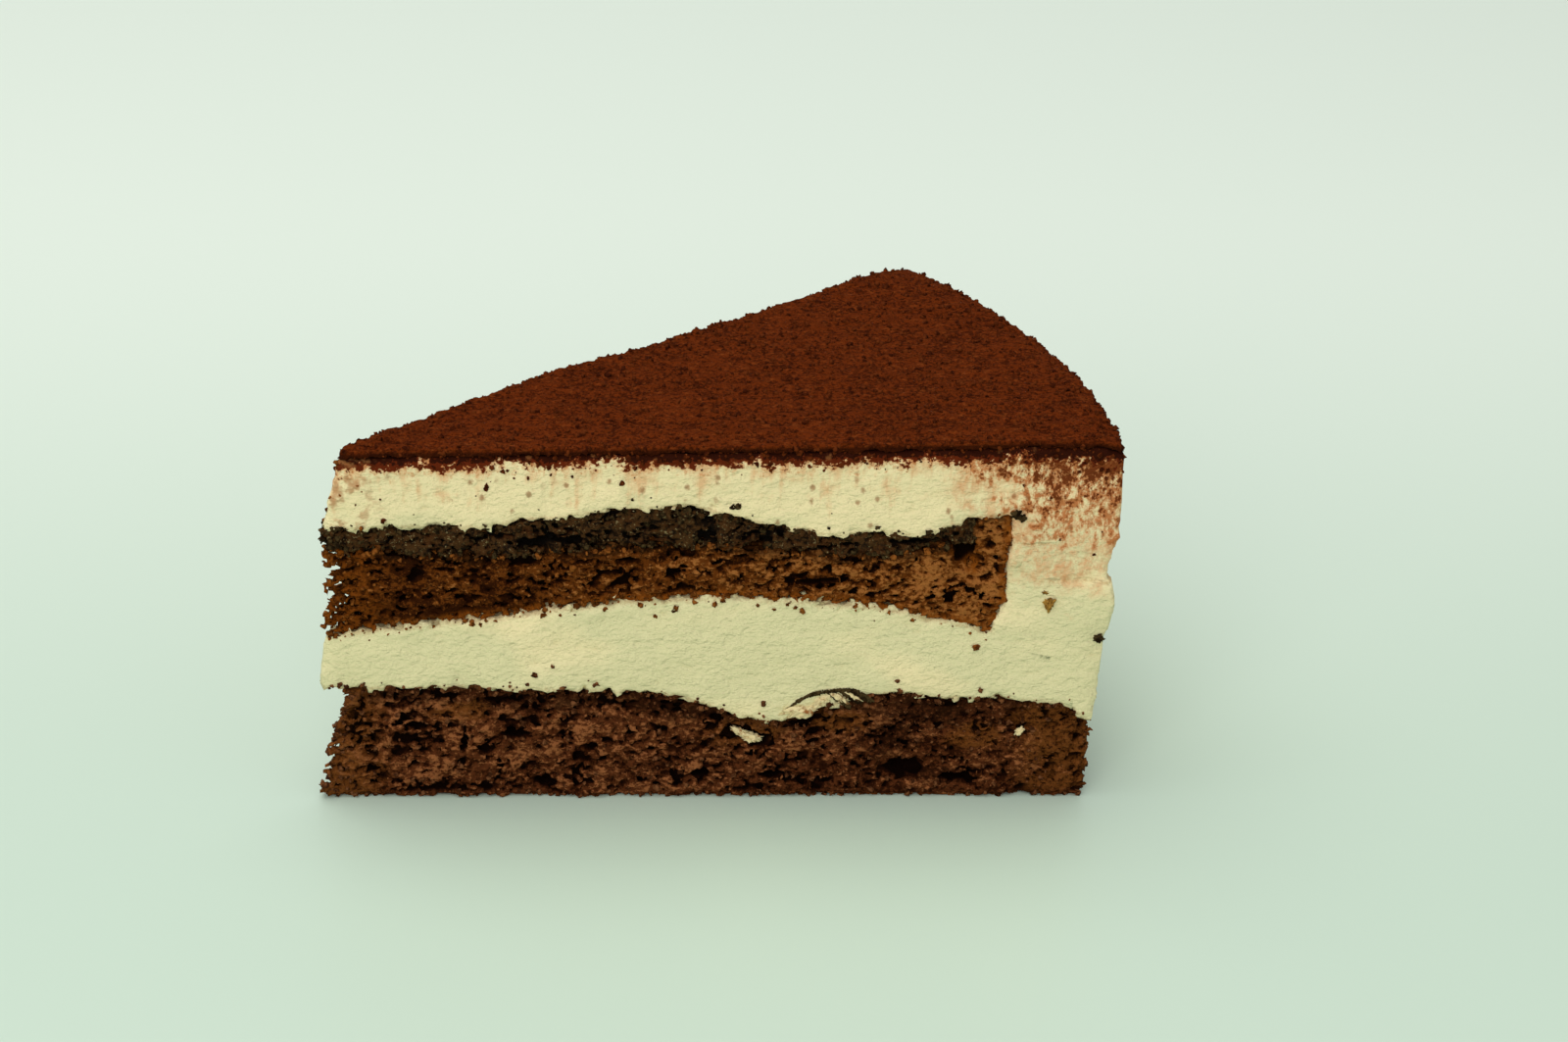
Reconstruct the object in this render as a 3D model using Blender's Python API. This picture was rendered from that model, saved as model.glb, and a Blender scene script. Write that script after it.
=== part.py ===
"""One slice of a round tiramisu cake, cut as a wedge and standing on its base.

The slice has five pieces, from the plate up:
  bottom_sponge  coffee sponge disc that reaches the rim
  cream          mascarpone cream: a layer, the rim wall and the top layer in one piece,
                 folded like a C round the upper sponge
  upper_sponge   smaller sponge disc, held inside the cream
  soaked_crumb   the coffee-soaked upper part of that disc
  cocoa_top      layer of cocoa powder over the whole top

Every piece is a block of cells that is bent into the wedge. A cell corner is known by its
distance from the tip along the cut (x), its height (z) and its share of the wedge angle
(turn: 0 on the front cut, 1 on the back cut). Sizes are in millimetres until slice_piece
writes the mesh in metres. The front cut faces -Y, the rim is at +X, and the origin is in
the middle of the underside.
"""

import math

import bmesh
import bpy
from mathutils import Vector, noise

MM = 0.001

# The wedge
TIP = -2.0  # x of the tip, where the cut starts
RIM = 95.0  # x of the rim, which is a circle about x = 0
WEDGE = math.radians(37.5)
TIP_WIDTH = 1.8  # how much of the sharp tip is missing
BACK_BULGE = 0.7  # the knife wandered outwards on the back cut
BACK_BULGE_AT, BACK_BULGE_SPAN = 0.42, 0.2  # as shares of the way from tip to rim
GAP = 0.3  # clear space between two pieces

# Edges of the wedge, as (height, x)
TIP_REACH = 14.0  # how far from the tip its lean is felt
RIM_REACH = 30.0
TIP_EDGE = ((16.0, -2.2), (23.0, -1.9), (37.5, -1.9), (43.0, -0.7), (48.5, 0.3))
BASE_TIP_EDGE = ((0.0, -3.0), (9.0, -1.0), (15.4, 0.5))
RIM_EDGE = (
    (0.0, 94.2), (6.0, 94.6), (10.5, 94.0), (14.0, 94.7), (30.7, 95.2),
    (31.9, 94.3), (33.6, 95.3), (40.0, 95.6), (47.6, 95.5), (50.2, 94.8),
)
SPONGE_EDGE = ((24.0, 80.2), (26.6, 81.5), (33.0, 82.0), (39.6, 81.7))

# Heights of the layers along the front cut, as (x, height)
BASE_TOP = (
    (-2, 15.5), (26, 15.3), (40, 14.5), (49, 12.2), (54, 10.8), (59, 12.2),
    (67, 14.7), (75, 14.0), (90.5, 13.7), (93, 12.0), (95, 10.5),
)
SPONGE_BOTTOM = ((-2, 23.3), (16, 25.7), (35, 28.1), (47, 28.7), (57, 28.3), (67, 27.3), (81, 24.0))
SOAKED_BOTTOM = ((-2, 35.2), (14, 34.1), (30, 35.1), (42, 35.8), (54, 35.1), (64, 34.3), (76, 36.2))
SOAKED_TOP = ((-2, 37.3), (18, 38.1), (32, 40.0), (44, 40.4), (54, 37.8), (72, 37.3), (78, 39.4), (82, 39.6))
CAKE_TOP = ((-2, 47.9), (24, 48.5), (60, 49.3), (88, 50.1), (93, 50.0), (95, 49.5))
SOAKED_END = 77.0  # the soaked crumb stops here, and plain crumb goes on up to the cream
STEP_WIDTH = 0.5
COCOA_THICKNESS = 0.8
TIP_LIFT, TIP_LIFT_LENGTH = 0.8, 5.0  # the thin tip of the base stands off the plate

# Unevenness
DRIFT = 9.0  # the dips and humps halfway lie this much further out on the back cut
SWELL, SWELL_LENGTH = 0.5, 14.0  # slow waves in the layers
RAGGED, RAGGED_LENGTH = 0.3, 4.0  # torn edges between crumb and cream
LUMP_LENGTH, CRUMB_LENGTH = 6.5, 2.4
SPONGE_CRAG, CREAM_CRAG, COCOA_CRAG = 0.9, 0.25, 0.35
END_SHARE, BORDER_SHARE = 0.8, 0.15  # crags at the tip and the rim, and where they meet a border

# Large pores on the front cut, as (x, z, half width, half height, depth)
BASE_PORES = ((69.9, 4.1, 3.0, 1.5, 1.8), (45.0, 3.5, 1.6, 1.4, 1.2), (25.2, 2.2, 1.5, 1.4, 1.0))
SPONGE_PORES = ((76.4, 34.0, 1.9, 2.4, 2.0), (34.9, 33.0, 1.6, 1.3, 1.0))

# Cells
CELL = 2.25  # length of a cell along the cut
SLICES = 7  # cells across the wedge angle


def slope(before, after):
    return (after[1] - before[1]) / (after[0] - before[0])


def smooth_line(stations, at):
    """Height of the smooth curve through the stations, level before the first and after the last."""
    if at <= stations[0][0]:
        return stations[0][1]
    ends = [stations[0], *stations, stations[-1]]
    for before, start, end, after in zip(ends, ends[1:], ends[2:], ends[3:]):
        if at <= end[0]:
            length = end[0] - start[0]
            t = (at - start[0]) / length
            rise = start[1] + (end[1] - start[1]) * t * t * (3 - 2 * t)
            leave = length * slope(before, end) * t * (1 - t) * (1 - t)
            arrive = length * slope(start, after) * t * t * (1 - t)
            return rise + leave - arrive
    return stations[-1][1]


def straight_line(stations, at):
    """The same with straight runs between the stations."""
    if at <= stations[0][0]:
        return stations[0][1]
    for start, end in zip(stations, stations[1:]):
        if at <= end[0]:
            return start[1] + slope(start, end) * (at - start[0])
    return stations[-1][1]


def bell(at, middle, span):
    return math.exp(-(((at - middle) / span) ** 2))


def fade(distance, reach):
    """Falls from 1 to 0 over the reach, and stays there."""
    return max(0.0, 1 - distance / reach) ** 2


def waves(x, turn, size, length, seed):
    """Slow unevenness, the same for every piece that shares a border."""
    across = turn * max(x, 0.0) * WEDGE
    calm = 1 - fade(x - TIP, TIP_REACH)
    return calm * size * noise.noise(Vector((x / length, across / length, seed)))


def layer(stations, seed):
    """A border between two layers, as a function of x and turn."""

    def height(x, turn):
        share = max(x, 0.0) / RIM
        along = x - DRIFT * turn * 4 * share * (1 - share)
        level = smooth_line(stations, along)
        level += waves(x, turn, SWELL, SWELL_LENGTH, seed) * turn
        return level + waves(x, turn, RAGGED, RAGGED_LENGTH, seed + 20.0)

    return height


base_top = layer(BASE_TOP, 1.3)
sponge_bottom = layer(SPONGE_BOTTOM, 2.3)
soaked_bottom = layer(SOAKED_BOTTOM, 3.3)
soaked_top = layer(SOAKED_TOP, 4.3)


def base_bottom(x, turn):
    return TIP_LIFT * fade(x - TIP, TIP_LIFT_LENGTH)


def cake_top(x, turn):
    return smooth_line(CAKE_TOP, x) + waves(x, turn, SWELL, SWELL_LENGTH, 5.3) * turn


def cocoa_bottom(x, turn):
    return cake_top(x, turn) - COCOA_THICKNESS


def plain_crumb_top(x, turn):
    """Top of the upper sponge: under the soaked crumb, then a step up to the cream."""
    step = min(1.0, max(0.0, (x - SOAKED_END - GAP) / STEP_WIDTH))
    low = soaked_bottom(x, turn) - GAP
    return low + (soaked_top(x, turn) - low) * step


def lifted(height, amount):
    return lambda x, turn: height(x, turn) + amount


def evenly(start, end, longest):
    """Stations from start to end, no further apart than longest."""
    count = math.ceil((end - start) / longest)
    return [start + (end - start) * i / count for i in range(count + 1)]


def wedge_point(x, z, turn, tip_edge):
    """Bends a point of the flat cut section round into the wedge."""
    blunt = TIP_WIDTH / (RIM - TIP)
    apex = (TIP - blunt * RIM) / (1 - blunt)
    share = (x - TIP) / (RIM - TIP)
    out = blunt + (1 - blunt) * share
    outward = Vector((math.cos(turn * WEDGE), math.sin(turn * WEDGE), 0.0))
    point = Vector((apex, 0.0, z)) + out * (RIM * outward - Vector((apex, 0.0, 0.0)))
    point += outward * (straight_line(RIM_EDGE, z) - RIM) * fade(RIM - x, RIM_REACH)
    point.x += (smooth_line(tip_edge, z) - TIP) * fade(x - TIP, TIP_REACH)
    bulge = BACK_BULGE * turn * turn * bell(share, BACK_BULGE_AT, BACK_BULGE_SPAN)
    return point + bulge * Vector((-math.sin(WEDGE), math.cos(WEDGE), 0.0))


def crag_depth(point, size, seed):
    """How far the surface lies behind the cut at a point."""
    lump = noise.noise(point / LUMP_LENGTH + Vector((seed, 0.0, 0.0)))
    crumb = noise.noise(point / CRUMB_LENGTH + Vector((0.0, seed, 0.0)))
    return size * max(0.0, 0.45 + 0.5 * lump + 0.7 * crumb)


def block(columns, rows, hollow=None):
    """Closed block of cells whose corners are numbered by column, row and slice.

    hollow(column, row) is true for the cells that are left out all the way through.
    """
    mesh = bmesh.new()
    bmesh.ops.create_grid(mesh, x_segments=columns, y_segments=rows, size=0.5)
    for vert in mesh.verts:
        vert.co = Vector(((vert.co.x + 0.5) * columns, (vert.co.y + 0.5) * rows, 0.0))
    if hollow:
        middles = [(face, face.calc_center_median()) for face in mesh.faces]
        empty = [face for face, at in middles if hollow(at.x, at.y)]
        bmesh.ops.delete(mesh, geom=empty, context="FACES")
    sheet = mesh.faces[:]
    for slice_number in range(SLICES):
        last_sheet = sheet
        grown = bmesh.ops.extrude_face_region(mesh, geom=sheet)["geom"]
        if slice_number > 0:
            bmesh.ops.delete(mesh, geom=last_sheet, context="FACES")
        sheet = [item for item in grown if isinstance(item, bmesh.types.BMFace)]
        corners = [item for item in grown if isinstance(item, bmesh.types.BMVert)]
        bmesh.ops.translate(mesh, vec=(0.0, 0.0, 1.0), verts=corners)
    return mesh


def slice_piece(name, columns, borders, crag, seed, tip_edge=TIP_EDGE, pores=(), hollow=None, column_x=None):
    """One layer of the slice, as an object.

    columns: x of each line of cell corners, from tip to rim.
    borders: (height function, cells up to the next one), from the lowest to the highest.
    column_x: moves a column for its height, where the sponge's edge isn't upright.
    """
    levels = []
    for (low, cells), (high, _) in zip(borders, borders[1:]):
        levels += [(low, high, i / cells) for i in range(cells)]
    levels.append((borders[-1][0], borders[-1][0], 0.0))
    mesh = block(len(columns) - 1, len(levels) - 1, hollow)
    back = Vector((-math.sin(WEDGE), math.cos(WEDGE), 0.0))
    for vert in mesh.verts:
        column, row, slice_number = (round(value) for value in vert.co)
        turn = slice_number / SLICES
        x = columns[column]
        low, high, share = levels[row]
        z = low(x, turn) * (1 - share) + high(x, turn) * share
        if column_x:
            x = column_x(column, z)
        point = wedge_point(x, z, turn, tip_edge)
        depth = crag_depth(point, crag, seed)
        inward = Vector()
        if slice_number == 0:
            pore = max((e * bell(x, a, c) * bell(z, b, d) for a, b, c, d, e in pores), default=0.0)
            inward.y += depth + pore
        if slice_number == SLICES:
            inward -= back * depth
        end_depth = depth * (BORDER_SHARE if row in (0, len(levels) - 1) else END_SHARE)
        if column == 0:
            inward.x += end_depth
        if columns[column] == RIM:
            inward -= Vector((point.x, point.y, 0.0)).normalized() * end_depth
        vert.co = (point + inward) * MM
    bmesh.ops.triangulate(mesh, faces=mesh.faces)
    bmesh.ops.recalc_face_normals(mesh, faces=mesh.faces)
    data = bpy.data.meshes.new(name)
    mesh.to_mesh(data)
    mesh.free()
    return bpy.data.objects.new(name, data)


def sponge_edge(z):
    return smooth_line(SPONGE_EDGE, z)


def sponge_columns():
    inner = evenly(TIP, SOAKED_END + GAP, CELL)
    return inner + evenly(SOAKED_END + GAP + STEP_WIDTH, SPONGE_EDGE[-1][1], CELL)


def rim_columns():
    """Those past the upper sponge. Pieces that meet share their columns, to fit each other."""
    return evenly(SPONGE_EDGE[-1][1], RIM, CELL)[1:]


def bottom_sponge():
    return slice_piece(
        "bottom_sponge", sponge_columns() + rim_columns(), [(base_bottom, 6), (base_top, 0)],
        SPONGE_CRAG, 11.0, tip_edge=BASE_TIP_EDGE, pores=BASE_PORES,
    )


def upper_sponge():
    columns = sponge_columns()

    def column_x(column, z):
        past_step = max(0.0, columns[column] - SOAKED_END - GAP)
        span = SPONGE_EDGE[-1][1] - SOAKED_END - GAP
        return columns[column] + (sponge_edge(z) - SPONGE_EDGE[-1][1]) * past_step / span

    return slice_piece(
        "upper_sponge", columns, [(sponge_bottom, 4), (plain_crumb_top, 0)],
        SPONGE_CRAG, 12.0, pores=SPONGE_PORES, column_x=column_x,
    )


def soaked_columns():
    columns = evenly(TIP, SOAKED_END + GAP, CELL)
    return columns[:-1] + [SOAKED_END]


def soaked_crumb():
    return slice_piece(
        "soaked_crumb", soaked_columns(), [(soaked_bottom, 2), (soaked_top, 0)],
        SPONGE_CRAG, 13.0,
    )


def cream():
    inner = sponge_columns()
    columns = inner + rim_columns()
    last = len(inner) - 1
    layer_cells, sponge_cells, top_cells = 3, 4, 3

    def column_x(column, z):
        past_step = max(0.0, columns[column] - SOAKED_END - GAP)
        edge = sponge_edge(z) + GAP
        if column <= last:
            span = columns[last] - SOAKED_END - GAP
            return columns[column] + (edge - columns[last]) * past_step / span
        return edge + (RIM - edge) * (columns[column] - columns[last]) / (RIM - columns[last])

    def round_the_sponge(column, row):
        return column < last and layer_cells < row < layer_cells + sponge_cells

    borders = [
        (lifted(base_top, GAP), layer_cells), (lifted(sponge_bottom, -GAP), sponge_cells),
        (lifted(soaked_top, GAP), top_cells), (lifted(cocoa_bottom, -GAP), 0),
    ]
    return slice_piece(
        "cream", columns, borders, CREAM_CRAG, 14.0, column_x=column_x, hollow=round_the_sponge,
    )


def cocoa_top():
    return slice_piece(
        "cocoa_top", sponge_columns() + rim_columns(), [(cocoa_bottom, 1), (cake_top, 0)],
        COCOA_CRAG, 15.0,
    )


def finish(name, red, green, blue, roughness):
    """Principled material from an sRGB colour of 0 to 255."""
    linear = [((value / 255 + 0.055) / 1.055) ** 2.4 for value in (red, green, blue)]
    material = bpy.data.materials.new(name)
    material.use_nodes = True
    shader = material.node_tree.nodes["Principled BSDF"]
    shader.inputs["Base Color"].default_value = (*linear, 1.0)
    shader.inputs["Roughness"].default_value = roughness
    shader.inputs["Metallic"].default_value = 0.0
    return material


PIECES = (
    (bottom_sponge, ("mauve_brown_sponge", 78, 47, 30, 0.9)),
    (cream, ("mascarpone_cream", 236, 225, 178, 0.55)),
    (upper_sponge, ("coffee_sponge", 98, 53, 22, 0.9)),
    (soaked_crumb, ("soaked_sponge", 50, 33, 19, 0.6)),
    (cocoa_top, ("cocoa_powder", 92, 38, 14, 0.95)),
)


def move_origin_under_middle(pieces):
    """Puts the world's origin in the middle of the underside of the whole slice."""
    points = [vert.co for piece in pieces for vert in piece.data.vertices]
    low = Vector(min(point[axis] for point in points) for axis in range(3))
    high = Vector(max(point[axis] for point in points) for axis in range(3))
    middle = (low + high) / 2
    for piece in pieces:
        for vert in piece.data.vertices:
            vert.co -= Vector((middle.x, middle.y, low.z))


def main():
    for item in list(bpy.data.objects):
        bpy.data.objects.remove(item)
    cake = bpy.data.collections.new("tiramisu_slice")
    bpy.context.scene.collection.children.link(cake)
    pieces = []
    for make, look in PIECES:
        piece = make()
        piece.data.materials.append(finish(*look))
        cake.objects.link(piece)
        pieces.append(piece)
    move_origin_under_middle(pieces)


main()
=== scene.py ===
"""Tiramisu slice: torn sponge crumb, cut cream, cocoa powder and the loose crumbs on them.

Laid out as an add-on and run as a script. Each layer starts from its solid in the frame: Geometry
Nodes turn it into a volume, carve pores, granules and knife drags into its skin and mesh it again.
Lengths are in millimetres where a name says so or where they enter a node tree; MM turns them into
metres. Places on the front cut are (x, z): x from the top of the slice's tip, z from the plate.
"""

import math

import bmesh
import bpy
import numpy as np
from bpy.props import FloatProperty, FloatVectorProperty, PointerProperty
from mathutils import Matrix, Vector, noise


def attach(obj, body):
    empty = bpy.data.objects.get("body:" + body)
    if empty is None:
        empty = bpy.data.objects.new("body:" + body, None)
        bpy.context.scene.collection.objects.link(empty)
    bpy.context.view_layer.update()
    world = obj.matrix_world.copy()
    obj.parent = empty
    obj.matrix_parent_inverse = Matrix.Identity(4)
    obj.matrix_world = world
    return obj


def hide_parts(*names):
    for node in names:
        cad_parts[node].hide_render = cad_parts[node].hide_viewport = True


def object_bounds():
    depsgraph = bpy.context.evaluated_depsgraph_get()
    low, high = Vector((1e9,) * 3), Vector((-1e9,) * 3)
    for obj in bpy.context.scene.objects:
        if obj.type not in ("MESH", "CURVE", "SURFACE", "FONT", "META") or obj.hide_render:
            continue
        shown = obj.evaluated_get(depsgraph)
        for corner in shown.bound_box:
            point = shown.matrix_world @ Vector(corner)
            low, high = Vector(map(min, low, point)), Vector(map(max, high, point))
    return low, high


bl_info = {
    "name": "Tiramisu slice",
    "version": (1, 0, 0),
    "blender": (4, 5, 0),
    "location": "View3D > Sidebar > Tiramisu",
    "description": "Dresses a slice of tiramisu with torn crumb, cream and cocoa",
    "category": "Mesh",
}

MM = 0.001
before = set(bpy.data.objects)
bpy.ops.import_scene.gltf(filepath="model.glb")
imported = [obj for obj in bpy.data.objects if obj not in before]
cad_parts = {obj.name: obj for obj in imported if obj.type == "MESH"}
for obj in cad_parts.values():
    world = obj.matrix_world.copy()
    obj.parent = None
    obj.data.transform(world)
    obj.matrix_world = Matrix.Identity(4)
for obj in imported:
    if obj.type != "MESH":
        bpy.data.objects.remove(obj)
CAD_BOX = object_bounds()
BODY = "root"

# The wedge in the frame
RIM_X = 95.6  # widest x of the rim
WEDGE = math.radians(37.5)
BACK = Vector((-math.sin(WEDGE), math.cos(WEDGE), 0.0))
TIP = Vector((CAD_BOX[1].x - RIM_X * MM, CAD_BOX[0].y, 0.0))  # above it, x and y are 0 in places
RIM_RADIUS = 88.0  # further out than this, a wall is the rim's

# The camera, placed from the tip
CAMERA_AT = Vector((13.4, -375.0, 221.5))
CAMERA_PITCH, CAMERA_YAW, CAMERA_ROLL = (math.radians(a) for a in (25.8, 6.16, 3.0))
CAMERA_LENS = 78.75


# ---------------------------------------------------------------- node graphs


class Number:
    """A number that varies in a node tree. Arithmetic on it adds Math nodes."""

    def __init__(self, graph, socket):
        self.graph = graph
        self.socket = socket

    def __add__(self, other):
        return self.graph.math("ADD", self, other)

    def __sub__(self, other):
        return self.graph.math("SUBTRACT", self, other)

    def __rsub__(self, other):
        return self.graph.math("SUBTRACT", other, self)

    def __mul__(self, other):
        return self.graph.math("MULTIPLY", self, other)

    def __truediv__(self, other):
        return self.graph.math("DIVIDE", self, other)

    def __gt__(self, other):
        return self.graph.math("GREATER_THAN", self, other)

    def __lt__(self, other):
        return self.graph.math("LESS_THAN", self, other)

    __radd__ = __add__
    __rmul__ = __mul__


class Graph:
    """Adds nodes to a shader or geometry tree."""

    def __init__(self, tree):
        self.tree = tree

    def node(self, kind, settings=None, values=None):
        """A node of this type, with its settings, then the values or links of its sockets."""
        node = self.tree.nodes.new(kind)
        for name, setting in (settings or {}).items():
            setattr(node, name, setting)
        for name, value in (values or {}).items():
            self.feed(node.inputs[name], value)
        return node

    def feed(self, socket, value):
        if isinstance(value, Number):
            value = value.socket
        if isinstance(value, bpy.types.NodeSocket):
            self.tree.links.new(value, socket)
        else:
            socket.default_value = value

    def math(self, operation, *values):
        node = self.node("ShaderNodeMath", {"operation": operation}, dict(enumerate(values)))
        return Number(self, node.outputs[0])

    def vector(self, operation, *values):
        node = self.node("ShaderNodeVectorMath", {"operation": operation}, dict(enumerate(values)))
        output = "Value" if operation in ("DOT_PRODUCT", "LENGTH", "DISTANCE") else "Vector"
        return node.outputs[output]

    def joined(self, x=0.0, y=0.0, z=0.0):
        return self.node("ShaderNodeCombineXYZ", values={0: x, 1: y, 2: z}).outputs[0]

    def split(self, vector):
        node = self.node("ShaderNodeSeparateXYZ", values={"Vector": vector})
        return [Number(self, output) for output in node.outputs]

    def step(self, value, low, high, start=0.0, end=1.0):
        """Goes smoothly from start to end while value goes from low to high."""
        sockets = ("Value", "From Min", "From Max", "To Min", "To Max")
        node = self.node(
            "ShaderNodeMapRange", {"interpolation_type": "SMOOTHSTEP"},
            dict(zip(sockets, (value, low, high, start, end))),
        )
        return Number(self, node.outputs["Result"])

    def stretched(self, place, lengths):
        """place counted in lengths, which may be one or three millimetre sizes, numbers or fields."""
        if not isinstance(lengths, tuple):
            lengths = (lengths,) * 3
        if not any(isinstance(length, Number) for length in lengths):
            return self.vector("DIVIDE", place, lengths)
        return self.vector("DIVIDE", place, self.joined(*lengths))

    def level_way(self, spot):
        """The way from the upright line through the tip to the spot."""
        return self.vector("MULTIPLY", spot, (1.0, 1.0, 0.0))

    def radius(self, spot):
        return Number(self, self.vector("LENGTH", self.level_way(spot)))

    def named(self, attribute):
        node = self.node("GeometryNodeInputNamedAttribute", values={"Name": attribute})
        return Number(self, node.outputs[0])

    def stored(self, geometry, domain, attribute, value):
        """The geometry with the value kept on it as an attribute."""
        node = self.node(
            "GeometryNodeStoreNamedAttribute", {"data_type": "FLOAT", "domain": domain},
            {"Geometry": geometry, "Name": attribute, "Value": value},
        )
        return node.outputs[0]

    def noise(self, place, lengths, detail=1.0, roughness=0.5, seed=0.0):
        """Soft noise from 0 to 1, about 0.5."""
        moved = self.vector("ADD", self.stretched(place, lengths), (seed, seed * 1.7, -seed))
        node = self.node(
            "ShaderNodeTexNoise", {"noise_dimensions": "3D"},
            {"Vector": moved, "Scale": 1.0, "Detail": detail, "Roughness": roughness},
        )
        return Number(self, node.outputs[0])

    def cells(self, place, lengths, seed):
        """Distance to the nearest of scattered points, and that point's own number from 0 to 1."""
        moved = self.vector("ADD", self.stretched(place, lengths), (seed, -seed, seed * 0.6))
        node = self.node(
            "ShaderNodeTexVoronoi", {"voronoi_dimensions": "3D"}, {"Vector": moved, "Scale": 1.0}
        )
        own = self.split(node.outputs["Color"])[0]
        return Number(self, node.outputs["Distance"]), own

    def least(self, first, second):
        return self.math("MINIMUM", first, second)

    def most(self, first, second):
        return self.math("MAXIMUM", first, second)


class Finish(Graph):
    """A material with one Principled shader, whose patterns read object coordinates."""

    def __init__(self, name, roughness, specular=0.02):
        self.material = bpy.data.materials.new(name)
        self.material.use_nodes = True
        super().__init__(self.material.node_tree)
        self.shader = self.tree.nodes["Principled BSDF"]
        self.feed(self.shader.inputs["Roughness"], roughness)
        self.feed(self.shader.inputs["Specular IOR Level"], specular)
        here = self.node("ShaderNodeTexCoord").outputs["Object"]
        self.place = self.vector("DIVIDE", here, (MM, MM, MM))
        self.spot = self.vector("SUBTRACT", self.place, TIP / MM)

    def attribute(self, name):
        node = self.node("ShaderNodeAttribute", {"attribute_name": name})
        return Number(self, node.outputs["Fac"])

    def mix(self, share, first, second):
        """first where share is 0, second where it is 1."""
        node = self.node("ShaderNodeMix", {"data_type": "RGBA"}, {0: share, 6: first, 7: second})
        return node.outputs[2]

    def finish(self, colour, relief=None, relief_mm=0.1):
        self.feed(self.shader.inputs["Base Color"], colour)
        if relief is not None:
            bump = self.node(
                "ShaderNodeBump", values={"Height": relief, "Distance": relief_mm * MM, "Strength": 1.0}
            )
            self.feed(self.shader.inputs["Normal"], bump.outputs["Normal"])
        return self.material


def srgb(red, green, blue):
    """Linear colour, with alpha, of an sRGB colour of 0 to 255."""
    linear = [((value / 255 + 0.055) / 1.055) ** 2.4 for value in (red, green, blue)]
    return (*linear, 1.0)


# ---------------------------------------------------------------- the layers' bodies

# Large holes in the front cut of the two sponges: (x, z, length, height)
HOLES = (
    (76.6, 34.4, 3.6, 3.4),
    (71.0, 36.2, 7.0, 0.8),
    (34.9, 33.4, 2.6, 1.0),
    (23.5, 36.2, 3.2, 0.9),
    (50.5, 35.6, 2.2, 1.1),
    (70.7, 3.9, 5.4, 3.2),
    (77.4, 2.9, 4.4, 1.4),
    (45.0, 3.3, 2.6, 1.6),
    (53.8, 3.3, 4.0, 1.2),
    (25.4, 2.0, 3.4, 1.4),
    (21.5, 9.2, 4.0, 1.1),
    (9.2, 10.4, 3.2, 1.0),
    (49.6, 9.4, 3.6, 2.2),
    (52.0, 8.2, 3.6, 2.2),
)
HOLE_REACH = 3.4  # how far a large hole goes in

# (socket, default, what it is), in millimetres apart from shares
VOXEL_SOCKETS = (
    ("Voxel Along", 0.32, "Voxel length across the slice"),
    ("Voxel High", 0.24, "Voxel height"),
    ("Grow", 0.15, "How far the skin stands out from the solid"),
    ("Lump Length", 3.0, "Size of the slow bumps"),
    ("Lump Height", 0.3, "Height of the slow bumps"),
    ("Grain Length", 0.9, "Size of the fine bumps"),
    ("Grain Height", 0.3, "Height of the fine bumps"),
    ("Border Length", 1.2, "Size of the notches in the layer's borders"),
    ("Border Height", 0.0, "How far the borders wander up and down"),
    ("Border Reach", 0.7, "How far they wander outward, as a share of that"),
    ("Seed", 0.0, "Moves every pattern"),
)
PORE_SOCKETS = (
    ("Pore Size", 1.1, "Height of a large pore's cell"),
    ("Pore Stretch", 1.9, "How much longer than high a pore is"),
    ("Pore Share", 0.56, "How much of its cell the largest pore fills"),
    ("Small Pore Size", 0.6, "Height of a small pore's cell"),
    ("Small Pore Share", 0.64, "How much of its cell the largest small pore fills"),
    ("Pore Depth", 1.4, "How far pores reach in from the cut"),
    ("Tip Share", 0.0, "How much more the small pores fill beside the tip"),
)
CREAM_SOCKETS = (
    ("Drag Height", 0.12, "Height of the knife's long drags"),
    ("Flake Height", 0.16, "Height of the thin torn flakes"),
)


def named_tree(name, sockets):
    """A geometry tree with a geometry in and out, a material and the sockets, and its fields."""
    tree = bpy.data.node_groups.new(name, "GeometryNodeTree")
    face = tree.interface
    face.new_socket("Geometry", in_out="INPUT", socket_type="NodeSocketGeometry")
    face.new_socket("Geometry", in_out="OUTPUT", socket_type="NodeSocketGeometry")
    face.new_socket("Material", in_out="INPUT", socket_type="NodeSocketMaterial")
    for label, default, description in sockets:
        socket = face.new_socket(label, in_out="INPUT", socket_type="NodeSocketFloat")
        socket.default_value = default
        socket.description = description
    graph = Graph(tree)
    given = graph.node("NodeGroupInput").outputs
    fields = {label: Number(graph, given[label]) for label, _, _ in sockets}
    return graph, given["Geometry"], given["Material"], fields


def chosen_faces(graph, geometry, attribute):
    """The part of the geometry whose faces have this attribute."""
    picked = graph.node(
        "GeometryNodeSeparateGeometry", {"domain": "FACE"},
        {"Geometry": geometry, "Selection": graph.named(attribute)},
    )
    return picked.outputs["Selection"]


def distance_mm(graph, geometry, place=None):
    """Distance from the geometry's faces to the place, or to each point where none is given."""
    near = graph.node("GeometryNodeProximity", {"target_element": "FACES"}, {0: geometry})
    if place is not None:
        graph.feed(near.inputs["Sample Position"], place)
    return Number(graph, near.outputs["Distance"]) * (1 / MM)


def inside(graph, geometry, position):
    """1 inside the closed geometry and 0 outside: a ray from inside meets a face from behind."""
    upward = Vector((0.13, 0.21, 0.97)).normalized()
    ray = graph.node(
        "GeometryNodeRaycast",
        values={"Target Geometry": geometry, "Source Position": position,
                "Ray Direction": upward, "Ray Length": 1.0},
    )
    side = graph.vector("DOT_PRODUCT", ray.outputs["Hit Normal"], upward)
    from_behind = Number(graph, side) > 0.0
    return from_behind * Number(graph, ray.outputs["Is Hit"])


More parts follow.
